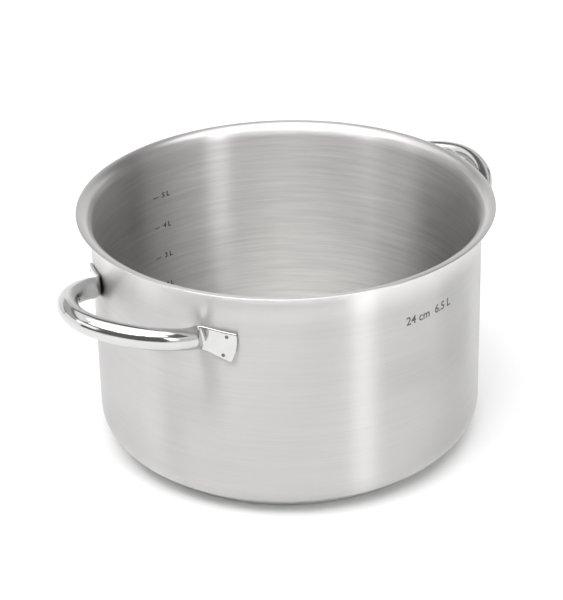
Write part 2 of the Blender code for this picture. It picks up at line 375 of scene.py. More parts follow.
def pressed_tube_tree():
    """Geometry Nodes: skin a tube along stations that carry their own thickness and height."""
    tree, inputs, sink = new_growth(
        "Pressed tube", ("Stations", "Geometry", None), ("Ring Points", "Int", 32),
        ("Tube", "Float", 0.013), ("Plate", "Float", 0.0022))
    stations = inputs["Stations"]
    tube = inputs["Tube"]
    plate = inputs["Plate"]
    mesh, row, column = grid_of_points(tree, stations, inputs["Ring Points"])

    def at_station(name, data_type="FLOAT"):
        return sample(tree, stations, named_attribute(tree, name, data_type), row, data_type)

    position = tree.nodes.new("GeometryNodeInputPosition").outputs[0]
    point = sample(tree, stations, position, row, "FLOAT_VECTOR")
    heading = at_station("heading", "FLOAT_VECTOR")
    upright = at_station("upright", "FLOAT_VECTOR")
    thickness = at_station("thickness")
    height = at_station("height")
    turn = (column + 0.5) * math.tau / inputs["Ring Points"]
    cosine = turn.calc("COSINE")

    # A flat section with rounded edges goes over into a full tube as the thickness grows
    lift = height * 0.5 * turn.calc("SINE")
    border = thickness.calc("MINIMUM", plate) * 0.5
    past = (lift.calc("ABSOLUTE") - (height * 0.5 - border)).calc("MAXIMUM", 0)
    edge = (border ** 2 - past ** 2).calc("MAXIMUM", 0).calc("SQRT")
    round_part = (thickness - plate).calc("DIVIDE", tube - plate, clamp=True)
    crown = cosine.calc("ABSOLUTE") ** (FLAT_CROWN - round_part * (FLAT_CROWN - 1))
    reach = edge * (1 - round_part) + tube * 0.5 * crown * round_part
    aside = cosine.calc("SIGN") * reach
    push = at_station("bulge") * cosine ** 2

    sideways = add(tree, "ShaderNodeVectorMath", {
        0: vector_calc(tree, "CROSS_PRODUCT", heading, upright)}, operation="NORMALIZE").outputs[0]
    moved = point
    for way, amount in ((upright, lift), (sideways, aside), (heading, push)):
        moved = vector_calc(tree, "ADD", moved, vector_calc(tree, "SCALE", way, amount))
    mesh = add(tree, "GeometryNodeSetPosition", {"Geometry": mesh, "Position": moved})
    finish_tree(tree, mesh.outputs[0], inputs, sink)
    return tree


def weld_tree():
    """Geometry Nodes: a domed weld on each point, facing the way that the point's attribute says."""
    tree, inputs, sink = new_growth(
        "Spot welds", ("Points", "Geometry", None), ("Radius", "Float", 0.001),
        ("Crown", "Float", 0.3))
    ball = add(tree, "GeometryNodeMeshUVSphere",
               {"Segments": 24, "Rings": 12, "Radius": inputs["Radius"]})
    squash = add(tree, "ShaderNodeCombineXYZ", {"X": 1.0, "Y": 1.0, "Z": inputs["Crown"]})
    dome = add(tree, "GeometryNodeTransform", {"Geometry": ball.outputs[0], "Scale": squash.outputs[0]})
    facing = named_attribute(tree, "facing", "FLOAT_VECTOR")
    turn = add(tree, "FunctionNodeAlignRotationToVector", {"Vector": facing}, axis="Z")
    copies = add(tree, "GeometryNodeInstanceOnPoints", {
        "Points": inputs["Points"], "Instance": dome.outputs[0], "Rotation": turn.outputs[0]})
    finish_tree(tree, copies.outputs[0], inputs, sink, weld_seams=False)
    return tree


def dash_tree():
    """Geometry Nodes: a dash on the wall, repeated up the wall at an even step."""
    tree, inputs, sink = new_growth(
        "Litre dashes", ("Geometry", "Geometry", None), ("Count", "Int", 5), ("First", "Float", 0.03),
        ("Step", "Float", 0.022), ("Radius", "Float", 0.12), ("Turn", "Float", 0.0),
        ("Length", "Float", 0.004), ("Width", "Float", 0.0006), ("Relief", "Float", 0.00003))
    sweep = inputs["Length"] / inputs["Radius"]
    stroke = add(tree, "GeometryNodeCurveArc", {
        "Resolution": 8, "Radius": inputs["Radius"], "Start Angle": inputs["Turn"] - sweep * 0.5,
        "Sweep Angle": sweep})
    outline = add(tree, "GeometryNodeCurvePrimitiveQuadrilateral", {
        "Width": inputs["Relief"], "Height": inputs["Width"]})
    bar = add(tree, "GeometryNodeCurveToMesh", {
        "Curve": stroke.outputs[0], "Profile Curve": outline.outputs[0], "Fill Caps": True})
    start = add(tree, "ShaderNodeCombineXYZ", {"Z": inputs["First"]})
    offset = add(tree, "ShaderNodeCombineXYZ", {"Z": inputs["Step"]})
    line = add(tree, "GeometryNodeMeshLine", {
        "Count": inputs["Count"], "Start Location": start.outputs[0], "Offset": offset.outputs[0]})
    copies = add(tree, "GeometryNodeInstanceOnPoints", {
        "Points": line.outputs[0], "Instance": bar.outputs[0]})
    finish_tree(tree, copies.outputs[0], inputs, sink, weld_seams=False)
    return tree


def shared_tree(name, make):
    """The node tree of that name, made the first time that it is asked for."""
    return bpy.data.node_groups.get(name) or make()


def grow(obj, tree, values):
    """Run Geometry Nodes on an object and leave the result as a plain mesh."""
    modifier = obj.modifiers.new(tree.name, "NODES")
    modifier.node_group = tree
    for item in tree.interface.items_tree:
        if item.in_out == "INPUT" and item.name in values:
            modifier[item.identifier] = values[item.name]
    flatten(obj)
    paint(obj, values["Material"])
    return obj


def paint(obj, *materials):
    """Give a piece these materials, with the first on all its faces."""
    obj.data.materials.clear()
    for material in materials:
        obj.data.materials.append(material)
    obj.data.polygons.foreach_set("material_index", [0] * len(obj.data.polygons))


def flatten(obj):
    """Replace an object's mesh by its evaluated one, and remove the modifiers."""
    bpy.context.view_layer.update()
    depsgraph = bpy.context.evaluated_depsgraph_get()
    mesh = bpy.data.meshes.new_from_object(obj.evaluated_get(depsgraph))
    mesh.name = obj.name
    obj.modifiers.clear()
    obj.data = mesh
    return obj


# Materials


def place_group(tree, name, make, inputs):
    """Place a shared shader group in a tree, fill its inputs and return its outputs."""
    return add(tree, "ShaderNodeGroup", inputs, node_tree=shared_tree(name, make)).outputs


def turned_place_group():
    """Shader group: direction about the Z axis and run along a turned surface."""
    tree, inputs, sink = new_group(
        "Turned place", "Shader", [("Vector", "Vector", None)],
        [("Direction", "Vector"), ("Run", "Float")])
    parts = add(tree, "ShaderNodeSeparateXYZ", {0: inputs["Vector"]}).outputs
    level = add(tree, "ShaderNodeCombineXYZ", {"X": parts["X"], "Y": parts["Y"]}).outputs[0]
    radius = add(tree, "ShaderNodeVectorMath", {0: level}, operation="LENGTH").outputs["Value"]
    direction = add(tree, "ShaderNodeVectorMath", {0: level}, operation="NORMALIZE").outputs[0]
    fill(tree, sink.inputs["Direction"], direction)
    fill(tree, sink.inputs["Run"], Wire(tree, radius) + parts["Z"])
    return tree


def brush_lines_group():
    """Shader group: brush lines that run round the Z axis, fine and coarse together."""
    tree, inputs, sink = new_group(
        "Brush lines", "Shader",
        [("Vector", "Vector", None), ("Pitch", "Float", 0.0005), ("Around", "Float", 3.0),
         ("Coarse", "Float", 0.5)],
        [("Lines", "Float")])
    place = place_group(tree, "Turned place", turned_place_group, {"Vector": inputs["Vector"]})

    def noise(pitch_share, around_share, detail):
        wide = vector_calc(tree, "SCALE", place["Direction"], inputs["Around"] * around_share)
        level = add(tree, "ShaderNodeSeparateXYZ", {0: wide}).outputs
        where = add(tree, "ShaderNodeCombineXYZ", {
            "X": level["X"], "Y": level["Y"],
            "Z": Wire(tree, place["Run"]) / (inputs["Pitch"] * pitch_share)})
        return add(tree, "ShaderNodeTexNoise", {
            "Vector": where.outputs[0], "Scale": 1.0, "Detail": detail, "Roughness": 0.6}).outputs[0]

    fine, coarse = MIX_NUMBERS
    lines = add(tree, "ShaderNodeMix", {
        "Factor": inputs["Coarse"], fine: noise(1.0, 1.0, 3.0), coarse: noise(4.0, 0.6, 2.0)})
    fill(tree, sink.inputs["Lines"], lines.outputs[0])
    return tree


def handling_group():
    """Shader group: faint smudges and wiping marks left by hands and cloths."""
    tree, inputs, sink = new_group(
        "Handling marks", "Shader", [("Vector", "Vector", None), ("Size", "Float", 0.05)],
        [("Smudge", "Float")])
    noise = add(tree, "ShaderNodeTexNoise", {
        "Vector": inputs["Vector"], "Scale": 1.0 / inputs["Size"], "Detail": 4.0, "Roughness": 0.55,
        "Distortion": 0.6})
    spread = add(tree, "ShaderNodeMapRange", {
        "Value": noise.outputs[0], "From Min": 0.35, "From Max": 0.7}, interpolation_type="SMOOTHSTEP")
    fill(tree, sink.inputs["Smudge"], spread.outputs[0])
    return tree


def start_material(name, **constants):
    """New material with its Principled shader's own sockets set; return its tree and shader."""
    material = bpy.data.materials.new(name)
    material.use_nodes = True
    tree = material.node_tree
    shader = tree.nodes["Principled BSDF"]
    for socket, value in constants.items():
        shader.inputs[socket.replace("_", " ")].default_value = value
    return tree, shader


def dress(tree, shader, base_colour, roughness, height, relief):
    """Link a shader's colour and roughness, and the relief of its surface."""
    bump = add(tree, "ShaderNodeBump", {"Height": height, "Strength": 1.0, "Distance": relief})
    fill(tree, shader.inputs["Base Color"], base_colour)
    fill(tree, shader.inputs["Roughness"], roughness)
    fill(tree, shader.inputs["Normal"], bump.outputs[0])


def object_place(tree):
    """Object coordinates in metres."""
    return tree.nodes.new("ShaderNodeTexCoord").outputs["Object"]


def blended(tree, factor, low, high):
    """Colour between two others."""
    first, second = MIX_COLOURS
    node = add(tree, "ShaderNodeMix", {"Factor": factor, first: low, second: high}, data_type="RGBA")
    return node.outputs[MIX_RESULT]


def scaled(base, gain):
    """Linear colour made darker or brighter by a gain, with its alpha."""
    return (*[min(channel * gain, 1.0) for channel in base], 1.0)


def tinted(tree, base, amount, value):
    """Colour that gets darker and lighter by an amount as a value goes from 0 to 1."""
    return blended(tree, value, scaled(base, 1 - amount), scaled(base, 1 + amount))


def ranged(tree, value, low, high):
    """Map a value between 0 and 1 to another range."""
    node = add(tree, "ShaderNodeMapRange", {"Value": value, "To Min": low, "To Max": high})
    return Wire(tree, node.outputs[0])


def brushed_steel(name, base, rough, tint, pitch, around, coarse, relief, anisotropy, rim_gain=0.0):
    """Steel brushed round the axis: streaked colour and sheen, and fine relief across the lines.

    The rim gain says how much brighter the steel is painted just under the lip, as a painted reflection
    of the bright floor there.
    """
    tree, shader = start_material(
        name, Metallic=1.0, Anisotropic=anisotropy, Anisotropic_Rotation=0.25)
    where = object_place(tree)
    lines = place_group(tree, "Brush lines", brush_lines_group, {
        "Vector": where, "Pitch": pitch, "Around": around, "Coarse": coarse})["Lines"]
    smudge = place_group(
        tree, "Handling marks", handling_group, {"Vector": where, "Size": 0.06})["Smudge"]
    streaked = tinted(tree, base, tint, lines)
    # Painted reflection: the steel is made brighter towards the lip's top, standing in for the floor's
    # reflection under the lip
    if rim_gain:
        top = bpy.context.scene.stock_pot.shell.top
        under_lip_light_mask = add(tree, "ShaderNodeMapRange", {
            "Value": add(tree, "ShaderNodeSeparateXYZ", {0: where}).outputs["Z"],
            "From Min": top - PAINTED_LIGHT_START, "From Max": top - PAINTED_LIGHT_FULL},
            interpolation_type="SMOOTHSTEP").outputs[0]
        streaked = blended(tree, under_lip_light_mask, streaked, scaled(base, 1 + rim_gain))
    sheen = SHEEN + SHEEN_SHARE * tint
    worn = (ranged(tree, lines, rough - sheen, rough + sheen)
            + ranged(tree, smudge, -0.015, 0.03))
    dress(tree, shader, streaked, worn, lines, relief)


def bright_steel(name, base):
    """Bright steel tube: nearly a mirror, with wiping marks and a faint ripple from polishing."""
    tree, shader = start_material(name, Metallic=1.0)
    where = object_place(tree)
    smudge = place_group(
        tree, "Handling marks", handling_group, {"Vector": where, "Size": 0.02})["Smudge"]
    ripple = add(tree, "ShaderNodeTexNoise", {
        "Vector": where, "Scale": 320.0, "Detail": 2.0, "Roughness": 0.5}).outputs[0]
    dress(tree, shader, tinted(tree, base, 0.04, smudge), ranged(tree, smudge, 0.11, 0.17), ripple,
          0.000004)


def dull_metal(name, base, rough, grain, relief, metallic=1.0):
    """Metal with an even grain, for the disc's edge, the welds and the etched marks."""
    tree, shader = start_material(name, Metallic=metallic)
    speckle = add(tree, "ShaderNodeTexNoise", {
        "Vector": object_place(tree), "Scale": 1.0 / grain, "Detail": 3.0, "Roughness": 0.6}).outputs[0]
    dress(tree, shader, tinted(tree, base, 0.18, speckle),
          ranged(tree, speckle, rough - 0.08, rough + 0.08), speckle, relief)


# Maker, colour and numbers of each finish
FINISHES = {
    # The outside's gain paints a brighter band under the lip, a painted reflection of the floor
    "satin_outside": (brushed_steel, "satin", {
        "rough": 0.40, "tint": 0.12, "pitch": 0.0005, "around": 3.0, "coarse": 0.4,
        "relief": 0.000001, "anisotropy": 1.0, "rim_gain": 0.35}),
    "satin_lip": (brushed_steel, "inner", {
        "rough": 0.34, "tint": 0.04, "pitch": 0.0004, "around": 2.0, "coarse": 0.4,
        "relief": 0.000001, "anisotropy": 0.7}),
    "satin_inside": (brushed_steel, "inner", {
        "rough": 0.40, "tint": 0.30, "pitch": 0.0006, "around": 4.0, "coarse": 0.6,
        "relief": 0.000001, "anisotropy": 1.0}),
    "turned_base": (brushed_steel, "base", {
        "rough": 0.32, "tint": 0.08, "pitch": 0.0004, "around": 1.0, "coarse": 0.3,
        "relief": 0.000008, "anisotropy": 0.8}),
    "bright_steel": (bright_steel, "polished", {}),
    "plain_aluminium": (dull_metal, "aluminium", {"rough": 0.45, "grain": 0.0012, "relief": 0.00001}),
    "weld_scale": (dull_metal, "weld", {"rough": 0.5, "grain": 0.0004, "relief": 0.00002}),
    "etched_grey": (dull_metal, "etch", {
        "rough": 0.6, "grain": 0.0003, "relief": 0.000004, "metallic": 0.3}),
}


def finish(name):
    """The pot's finish of that name, made the first time that it is asked for."""
    if name not in bpy.data.materials:
        make, tone, numbers = FINISHES[name]
        make(name, getattr(bpy.context.scene.stock_pot.finish, tone), **numbers)
    return bpy.data.materials[name]


# Shapes


def arc(centre, radius, start, end, steps):
    """Points on an arc in the profile's plane, from the start angle to the end angle in degrees."""
    points = []
    for step in range(steps + 1):
        turn = math.radians(start + (end - start) * step / steps)
        points.append((centre[0] + radius * math.cos(turn), centre[1] + radius * math.sin(turn)))
    return points


def straight(start, end, steps):
    """Points inside a straight stretch, without its two ends."""
    first, last = Vector(start), Vector(end)
    return [tuple(first.lerp(last, step / steps)) for step in range(1, steps)]


def piece_object(name, mesh):
    """Put a new mesh in the scene."""
    obj = bpy.data.objects.new(name, mesh)
    bpy.context.scene.collection.objects.link(obj)
    return obj


def path_object(name, points):
    """Mesh of points joined in a line, in three dimensions."""
    mesh = bpy.data.meshes.new(name)
    mesh.from_pydata([tuple(point) for point in points],
                     [(index, index + 1) for index in range(len(points) - 1)], [])
    return piece_object(name, mesh)


def turned_piece(name, profile, material):
    """Turn a profile of (radius, height) points into a closed piece."""
    obj = path_object(name, [(radius, 0.0, height) for radius, height in profile])
    settings = bpy.context.scene.stock_pot.shell
    return grow(obj, shared_tree("Turned piece", turned_tree),
                {"Segments": settings.segments, "Material": material})


def attach(obj, slot, *nodes):
    """Let a finished piece ride on the pot and stand for its CAD nodes; the finish slot is not used."""
    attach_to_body(obj, BODY)
    if nodes:
        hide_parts(*nodes)


def shell_profile(size):
    """Outline of the shell from the middle of its floor, over the lip, to the middle underneath."""
    wall = size.bore_radius + size.sheet
    corner = (wall - size.corner_radius, size.bottom + size.corner_radius)
    roll = (size.bore_radius + size.lip_roll, size.top - size.lip_roll)
    floor = size.bottom + size.sheet
    inner_foot = corner[0]
    upper_edge = (size.lip_radius - size.edge_round, size.top - size.edge_round)
    lower_edge = (size.lip_radius - size.edge_round, size.top - size.sheet + size.edge_round)
    points = [(0.0, floor)]
    points += straight((0.0, floor), (inner_foot, floor), 12)
    points += arc(corner, size.corner_radius - size.sheet, -90, 0, 20)
    points += straight((size.bore_radius, corner[1]), (size.bore_radius, roll[1]), 14)
    points += arc(roll, size.lip_roll, 180, 90, 16)
    points += arc(upper_edge, size.edge_round, 90, 0, 4)
    points += arc(lower_edge, size.edge_round, 0, -90, 4)
    points += arc(roll, size.lip_roll - size.sheet, 90, 180, 16)
    points += straight((wall, roll[1]), (wall, corner[1]), 14)
    points += arc(corner, size.corner_radius, 0, -90, 20)
    points += straight((inner_foot, size.bottom), (0.0, size.bottom), 12)
    points += [(0.0, size.bottom)]
    return points


def cap_profile(size):
    """Outline of the cap: a shallow cup with turned rings in its underside."""
    centre = (size.cap_radius - size.cap_corner, size.cap_corner)
    inner = size.cap_radius - size.cap_sheet
    ring_round = size.cap_sheet / 2
    points = [(0.0, size.cap_sheet)]
    points += straight((0.0, size.cap_sheet), (centre[0], size.cap_sheet), 10)
    points += arc(centre, size.cap_corner - size.cap_sheet, -90, 0, 8)
    points += [(inner, size.cap_edge - ring_round)]
    points += arc((inner + ring_round, size.cap_edge - ring_round), ring_round, 180, 0, 8)[1:]
    points += arc(centre, size.cap_corner, 0, -90, 10)
    rings = 25
    ring_steps = 8
    plain_middle = 0.01
    for step in range(1, rings * ring_steps):
        radius = centre[0] * (1 - step / (rings * ring_steps))
        wave = 0.5 - 0.5 * math.cos(math.tau * step / ring_steps)
        fade = min(1.0, step / (2 * ring_steps), radius / plain_middle)
        points.append((radius, size.ring_depth * wave * fade))
    points += [(0.0, 0.0)]
    return points


def smooth(value):
    """Ease from 0 to 1."""
    value = min(max(value, 0.0), 1.0)
    return value * value * (3 - 2 * value)


def mix(low, high, part):
    """Value between two others."""
    return low + (high - low) * part


# A section of the tube: its place, the ways it faces, its sizes, and how far its middle bows ahead
Station = namedtuple("Station", "point heading upright thickness height bulge", defaults=(0.0,))


class HandlePath:
    """Path of one handle along +X: loop, leg, bend and pressed plate."""

    def __init__(self, size, shell):
        self.size = size
        self.bottom = shell.bottom
        self.plate_radius = shell.bore_radius + shell.sheet + size.clearance + size.plate / 2
        across = size.leg_offset + size.bend_radius * math.cos(size.leg_splay)
        out = math.sqrt((self.plate_radius + size.bend_radius) ** 2 - across ** 2)
        self.centre = Vector((out, across))
        self.bend = self.centre + size.bend_radius * Vector(
            (math.sin(size.leg_splay), -math.cos(size.leg_splay)))
        self.start_turn = math.atan2(across, out)
        self.bend_turn = math.radians(90) - size.leg_splay - self.start_turn
        self.bend_length = size.bend_radius * self.bend_turn

    def height_at(self, out):
        """Height of the tilted loop at a distance from the pot's axis."""
        return self.bottom + self.size.leg_height + (out - self.bend.x) * math.tan(self.size.tilt)

    def on_plate(self, along):
        """Place, heading and upright of the plate at a distance past the bend."""
        drop = self.size.plate_drop
        turn = self.start_turn + along * math.cos(drop) / self.plate_radius
        radial = Vector((math.cos(turn), math.sin(turn), 0))
        point = radial * self.plate_radius
        point.z = self.height_at(self.plate_radius * math.cos(self.start_turn)) - along * math.sin(drop)
        level = Vector((-radial.y, radial.x, 0))
        heading = level * math.cos(drop) - Vector((0, 0, math.sin(drop)))
        return point, heading, radial.cross(heading)

    def on_loop(self, part):
        """Point and heading on the curve from the front of the loop (0) to the bend (1)."""
        size = self.size
        points = [
            Vector((size.reach, 0)),
            Vector((size.reach, size.front_pull)),
            self.bend + size.leg_pull * Vector((math.cos(size.leg_splay), math.sin(size.leg_splay))),
            self.bend,
        ]
        rest = 1 - part
        flat = (points[0] * rest ** 3 + points[1] * 3 * rest ** 2 * part
                + points[2] * 3 * rest * part ** 2 + points[3] * part ** 3)
        course = ((points[1] - points[0]) * rest ** 2 + (points[2] - points[1]) * 2 * rest * part
                  + (points[3] - points[2]) * part ** 2)
        point = Vector((flat.x, flat.y, self.height_at(flat.x)))
        return point, Vector((course.x, course.y, course.x * math.tan(size.tilt))).normalized()

    def pressed(self, left):
        """Thickness and height of the tube at a distance before the plate."""
        part = smooth(left / (self.size.press_start + self.bend_length))
        return (mix(self.size.plate, self.size.tube, part),
                mix(self.size.neck_height, self.size.tube, part))

    def stations(self):
        """Sections from the front of the loop to inside the slit of the tip."""
        size = self.size
        loop_up = Vector((-math.sin(size.tilt), 0, math.cos(size.tilt)))
        heading, plate_up = self.on_plate(0)[1:]
        crease = plate_up - heading * size.bend_slant
        bend_start = self.on_loop(1)[0]
        stations = []
        loop_steps = 72
        for step in range(loop_steps + 1):
            point, heading = self.on_loop(step / loop_steps)
            left = (point - bend_start).length
            thickness, height = self.pressed(left + self.bend_length)
            upright = crease.lerp(loop_up, smooth(left / size.press_start / TWIST_LENGTH))
            stations.append(Station(point, heading, upright, thickness, height))
        bend_steps = 18
        for step in range(1, bend_steps + 1):
            part = step / bend_steps
            turn = size.leg_splay - math.radians(90) - self.bend_turn * part
            out = self.centre.x + size.bend_radius * math.cos(turn)
            across = self.centre.y + size.bend_radius * math.sin(turn)
            heading = Vector((math.sin(turn), -math.cos(turn), math.sin(turn) * math.tan(size.tilt)))
            thickness, height = self.pressed(self.bend_length * (1 - part))
            stations.append(Station(Vector((out, across, self.height_at(out))), heading.normalized(),
                                    crease, thickness, height))
        plate_steps = 24
        for step in range(1, plate_steps + 1):
            part = step / plate_steps
            point, heading, upright = self.on_plate(size.plate_length * part)
            slant = mix(-size.bend_slant, size.tip_slant, smooth(part))
            height = mix(size.neck_height, size.end_height, part)
            stations.append(Station(point, heading, upright + heading * slant, size.plate, height,
                                    size.end_bulge * part ** 3))
        return stations + self.tip_stations()

    def tip_stations(self):
        """Rounded rim of the open tip, then the slit between the two pressed walls."""
        size = self.size
        rim = size.wall * 0.3
        slit = 0.00016
        border = (size.plate - slit) / 2
        rim_steps = 4
        sections = []
        for step in range(1, rim_steps + 1):
            turn = math.radians(90) * step / rim_steps
            sections.append((rim * math.sin(turn), rim * (1 - math.cos(turn)), None))
        sections += [
            (rim, border, slit), (-size.wall, border, slit), (-size.wall * 2.5, border, slit / 8)]
        stations = []
        for ahead, inset, thin in sections:
            point, heading, upright = self.on_plate(size.plate_length + ahead)
            stations.append(Station(
                point, heading, upright + heading * size.tip_slant, thin or size.plate - 2 * inset,
                size.end_height - 2 * inset, size.end_bulge))
        return stations

    def weld_places(self):
        """Middle and outward direction of the upper and lower weld on the plate at +Y."""
        size = self.size
        point, _, upright = self.on_plate(size.plate_length - size.weld_back)
        spots = [point + upright * lift for lift in (size.weld_spread / 2, -size.weld_spread / 2)]
        return [(spot, Vector((spot.x, spot.y, 0)).normalized()) for spot in spots]

    def vent_place(self):
        """Middle and direction of the vent, on the inner side of the leg at -Y."""
        point, heading = self.on_loop(self.size.vent_at)
        inward = heading.cross(Vector((0, 0, 1))).normalized()
        vent = point - inward * self.size.tube / 2
        return Vector((vent.x, -vent.y, vent.z)), Vector((inward.x, -inward.y, inward.z))


def mirrored(station):
    """The same section on the other half of the loop, headed the same way along the tube."""
    flip = Vector((1, -1, 1))
    return Station(station.point * flip, -(station.heading * flip), station.upright * flip,
                   station.thickness, station.height, -station.bulge)


def store(mesh, name, values):
    """Store one number or vector for each point of a mesh."""
    data_type, key = ("FLOAT_VECTOR", "vector") if isinstance(values[0], Vector) else ("FLOAT", "value")
    layer = mesh.attributes.new(name, data_type, "POINT")
    for item, value in zip(layer.data, values):
        setattr(item, key, value)


def cutter(name, middle, direction, radius, depth):
    """Round bar that cuts a hole."""
    bpy.ops.mesh.primitive_cylinder_add(
        vertices=32, radius=radius, depth=depth, location=middle,
        rotation=direction.to_track_quat("Z", "Y").to_euler())
    obj = bpy.context.object
    obj.name = name
    return obj


def cut(obj, cutters):
    """Cut holes in a piece, and remove the cutters."""
    for tool in cutters:
        modifier = obj.modifiers.new(tool.name, "BOOLEAN")
        modifier.operation = "DIFFERENCE"
        modifier.solver = "EXACT"
        modifier.object = tool
    flatten(obj)
    for tool in cutters:
        bpy.data.objects.remove(tool, do_unlink=True)


def handle_piece(name, path, turn, material):
    """One tube handle, turned about the pot's axis."""
    half = path.stations()
    stations = [mirrored(station) for station in reversed(half[1:])] + half
    obj = path_object(name, [station.point for station in stations])
    for label in Station._fields[1:]:
        store(obj.data, label, [getattr(station, label) for station in stations])
    grow(obj, shared_tree("Pressed tube", pressed_tube_tree),
         {"Ring Points": path.size.ring_points, "Tube": path.size.tube, "Plate": path.size.plate,
          "Material": material})
    cutters = [cutter("vent", *path.vent_place(), path.size.vent_radius, path.size.wall * VENT_DEPTH)]
    for spot, outward in path.weld_places():
        face = spot + outward * path.size.plate / 2
        for side in (-1, 1):
            flip = Vector((1, side, 1))
            cutters.append(cutter("dimple", face * flip, outward * flip,
                                  path.size.weld_radius * DIMPLE_SHARE, path.size.weld_depth * 2))
    cut(obj, cutters)
    obj.data.transform(Matrix.Rotation(turn, 4, "Z"))
    obj.data.shade_smooth()
    obj.data.set_sharp_from_angle(angle=SHARP_ANGLE)
    return obj


def wrapped_text(name, body, font_size, bold, turn, height, radius, relief, outside):
    """Text laid on a cylindrical wall, read from outside or from inside."""
    curve = bpy.data.curves.new(name, "FONT")
    curve.body = body
    curve.size = font_size
    curve.align_x = "CENTER"
    curve.align_y = "CENTER"
    curve.extrude = relief / 2
    curve.offset = font_size * bold
    curve.resolution_u = 4
    holder = piece_object(name, curve)
    bpy.context.view_layer.update()
    mesh = bpy.data.meshes.new_from_object(
        holder.evaluated_get(bpy.context.evaluated_depsgraph_get()))
    bpy.data.objects.remove(holder, do_unlink=True)
    side = 1 if outside else -1
    for vertex in mesh.vertices:
        across, up, out = vertex.co
        way = turn + side * across / radius
        reach = radius + side * (relief + out)
        vertex.co = (reach * math.cos(way), reach * math.sin(way), height + up)
    obj = piece_object(name, mesh)
    paint(obj, finish("etched_grey"))
    return obj


def join(name, objects):
    """Join objects into one piece."""
    with bpy.context.temp_override(active_object=objects[0], selected_editable_objects=objects):
        bpy.ops.object.join()
    objects[0].name = name
    return objects[0]


# Operators


class STOCKPOT_OT_shell(Operator):
    """Make the drawn shell, satin outside and brushed inside"""

    bl_idname = "stockpot.make_shell"
    bl_label = "Shell"

    def execute(self, context):
        size = context.scene.stock_pot.shell
        shell = turned_piece("shell", shell_profile(size), finish("satin_outside"))
        paint(shell, finish("satin_outside"), finish("satin_inside"), finish("satin_lip"))
        lip_height = size.top - size.lip_roll
        lip_reach = size.bore_radius + size.lip_roll * LIP_SHARE
        floor = size.bottom + size.sheet / 2
        for face in shell.data.polygons:
            x, y, height = face.center
            inward = face.normal.x * x + face.normal.y * y < 0
            if height > lip_height and face.normal.z > -0.1 and math.hypot(x, y) > lip_reach:
                face.material_index = LIP
            elif height > floor and (inward or face.normal.z > 0.01):
                face.material_index = INSIDE
        attach(shell, "satin_steel", "pot_shell")
        return {"FINISHED"}


class STOCKPOT_OT_base(Operator):
    """Make the base's steel cap, and give the aluminium disc its finish"""

    bl_idname = "stockpot.make_base"
    bl_label = "Base"

    def execute(self, context):
        size = context.scene.stock_pot.shell
        cap = turned_piece("cap", cap_profile(size), finish("turned_base"))
        attach(cap, "base_steel", "base_cap")
        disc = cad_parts["base_core_disc"]
        disc.data.materials.clear()
        disc.data.materials.append(finish("plain_aluminium"))
        return {"FINISHED"}


class STOCKPOT_OT_handles(Operator):
    """Make the two tube handles with their pressed ends"""

    bl_idname = "stockpot.make_handles"
    bl_label = "Handles"

    def execute(self, context):
        settings = context.scene.stock_pot
        path = HandlePath(settings.handle, settings.shell)
        for name, turn in (("right", 0.0), ("left", math.pi)):
            handle = handle_piece(f"{name}_handle", path, turn, finish("bright_steel"))
            attach(handle, "polished_steel", f"handle_{name}")
        return {"FINISHED"}


class STOCKPOT_OT_welds(Operator):
    """Make the spot welds that hold the handles"""

    bl_idname = "stockpot.make_welds"
    bl_label = "Spot welds"

    def execute(self, context):
        settings = context.scene.stock_pot
        size = settings.handle
        path = HandlePath(size, settings.shell)
        flips = [Vector((x, y, 1)) for x in (-1, 1) for y in (-1, 1)]
        places = [(spot * flip, outward * flip)
                  for spot, outward in path.weld_places() for flip in flips]
        depth = size.plate / 2 - size.weld_depth
        mesh = bpy.data.meshes.new("welds")
        mesh.from_pydata([tuple(spot + outward * depth) for spot, outward in places], [], [])
        store(mesh, "facing", [outward for spot, outward in places])
        welds = grow(piece_object("welds", mesh), shared_tree("Spot welds", weld_tree), {
            "Radius": size.weld_radius * WELD_SHARE, "Crown": WELD_CROWN,
            "Material": finish("weld_scale")})
        attach(welds, "weld_steel", *WELD_NODES)
        return {"FINISHED"}


class STOCKPOT_OT_scale(Operator):
    """Make the litre scale on the inner wall"""

    bl_idname = "stockpot.make_scale"
    bl_label = "Litre scale"

    def execute(self, context):
        settings = context.scene.stock_pot
        mark = settings.mark
        bore = settings.shell.bore_radius
        step = 0.001 / (math.pi * bore ** 2)
        first = settings.shell.bottom + mark.litre_offset + step
        dashes = grow(piece_object("litre_dashes", bpy.data.meshes.new("litre_dashes")),
                      shared_tree("Litre dashes", dash_tree), {
            "Count": mark.litre_count, "First": first, "Step": step, "Radius": bore - mark.relief,
            "Turn": mark.dash_turn, "Length": mark.dash_length, "Width": mark.dash_width,
            "Relief": mark.relief, "Material": finish("etched_grey")})
        figures = []
        for litres in range(1, mark.litre_count + 1):
            figures.append(wrapped_text(
                f"figure_{litres}", f"{litres} L", mark.figure_size, mark.figure_bold, mark.figure_turn,
                first + step * (litres - 1), bore, mark.relief, outside=False))
        attach(dashes, "weld_steel")
        attach(join("litre_figures", figures), "weld_steel")
        return {"FINISHED"}


class STOCKPOT_OT_size_mark(Operator):
    """Make the etched size mark on the outer wall"""

    bl_idname = "stockpot.make_size_mark"
    bl_label = "Size mark"

    def execute(self, context):
        settings = context.scene.stock_pot
        mark = settings.mark
        wall = settings.shell.bore_radius + settings.shell.sheet
        text = wrapped_text("size_mark", mark.size_text, mark.size_font, mark.size_bold, mark.size_turn,
                            mark.size_height, wall, mark.relief, outside=True)
        attach(text, "weld_steel")
        return {"FINISHED"}


class STOCKPOT_OT_stage(Operator):
    """Set the floor, the studio light and the camera"""

    bl_idname = "stockpot.set_stage"
    bl_label = "Stage"

    def execute(self, context):
        settings = context.scene.stock_pot
        make_floor(settings)
        make_world(context.scene, settings.stage)
        make_lights(context.scene, settings.stage)
        make_camera(context.scene, settings.stage)
        context.scene.view_settings.view_transform = "Standard"
        return {"FINISHED"}


# Stage


